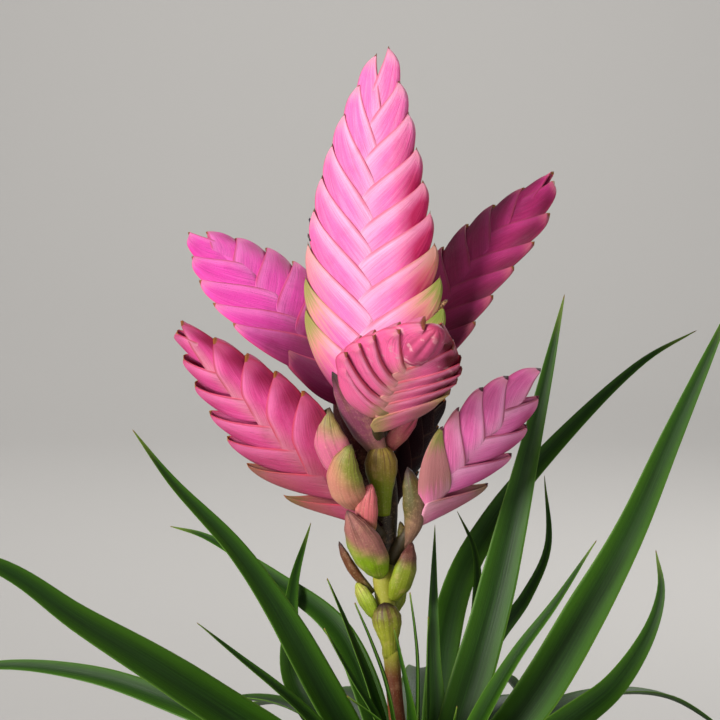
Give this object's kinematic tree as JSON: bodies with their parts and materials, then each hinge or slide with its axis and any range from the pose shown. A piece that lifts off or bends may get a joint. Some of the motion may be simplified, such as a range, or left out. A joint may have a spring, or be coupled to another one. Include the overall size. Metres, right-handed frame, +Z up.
{
  "type": "potted pink quill plant",
  "caption": "Branched pink quill plant: flat spikes of overlapping pink bracts on one stem over a rosette of channelled strap leaves, in a plain round grower's pot.",
  "frame": {"origin": "centre of the pot's flat base", "axes": "+Z up along the pot's axis, -Y to the front that the paddle shaped terminal spike faces, +X to its right"},
  "size_m": [0.3514, 0.3039, 0.4252],
  "materials": {
    "pot_plastic": "satin",
    "potting_mix": "matte",
    "stem_green": "satin",
    "bract_pink": "satin",
    "bract_coral": "satin",
    "bract_magenta": "satin",
    "bract_dark_magenta": "satin",
    "leaf_green": "satin"
  },
  "bodies": {
    "root": {"pot": "pot_plastic", "soil": "potting_mix", "flower_stem": "stem_green", "spike_terminal": "bract_pink", "spike_front": "bract_coral", "spike_upper_left": "bract_magenta", "spike_upper_right": "bract_dark_magenta", "spike_lower_left": "bract_coral", "spike_lower_right": "bract_magenta", "spike_back": "bract_dark_magenta", "leaf_rosette": "leaf_green"}
  },
  "joints": []
}
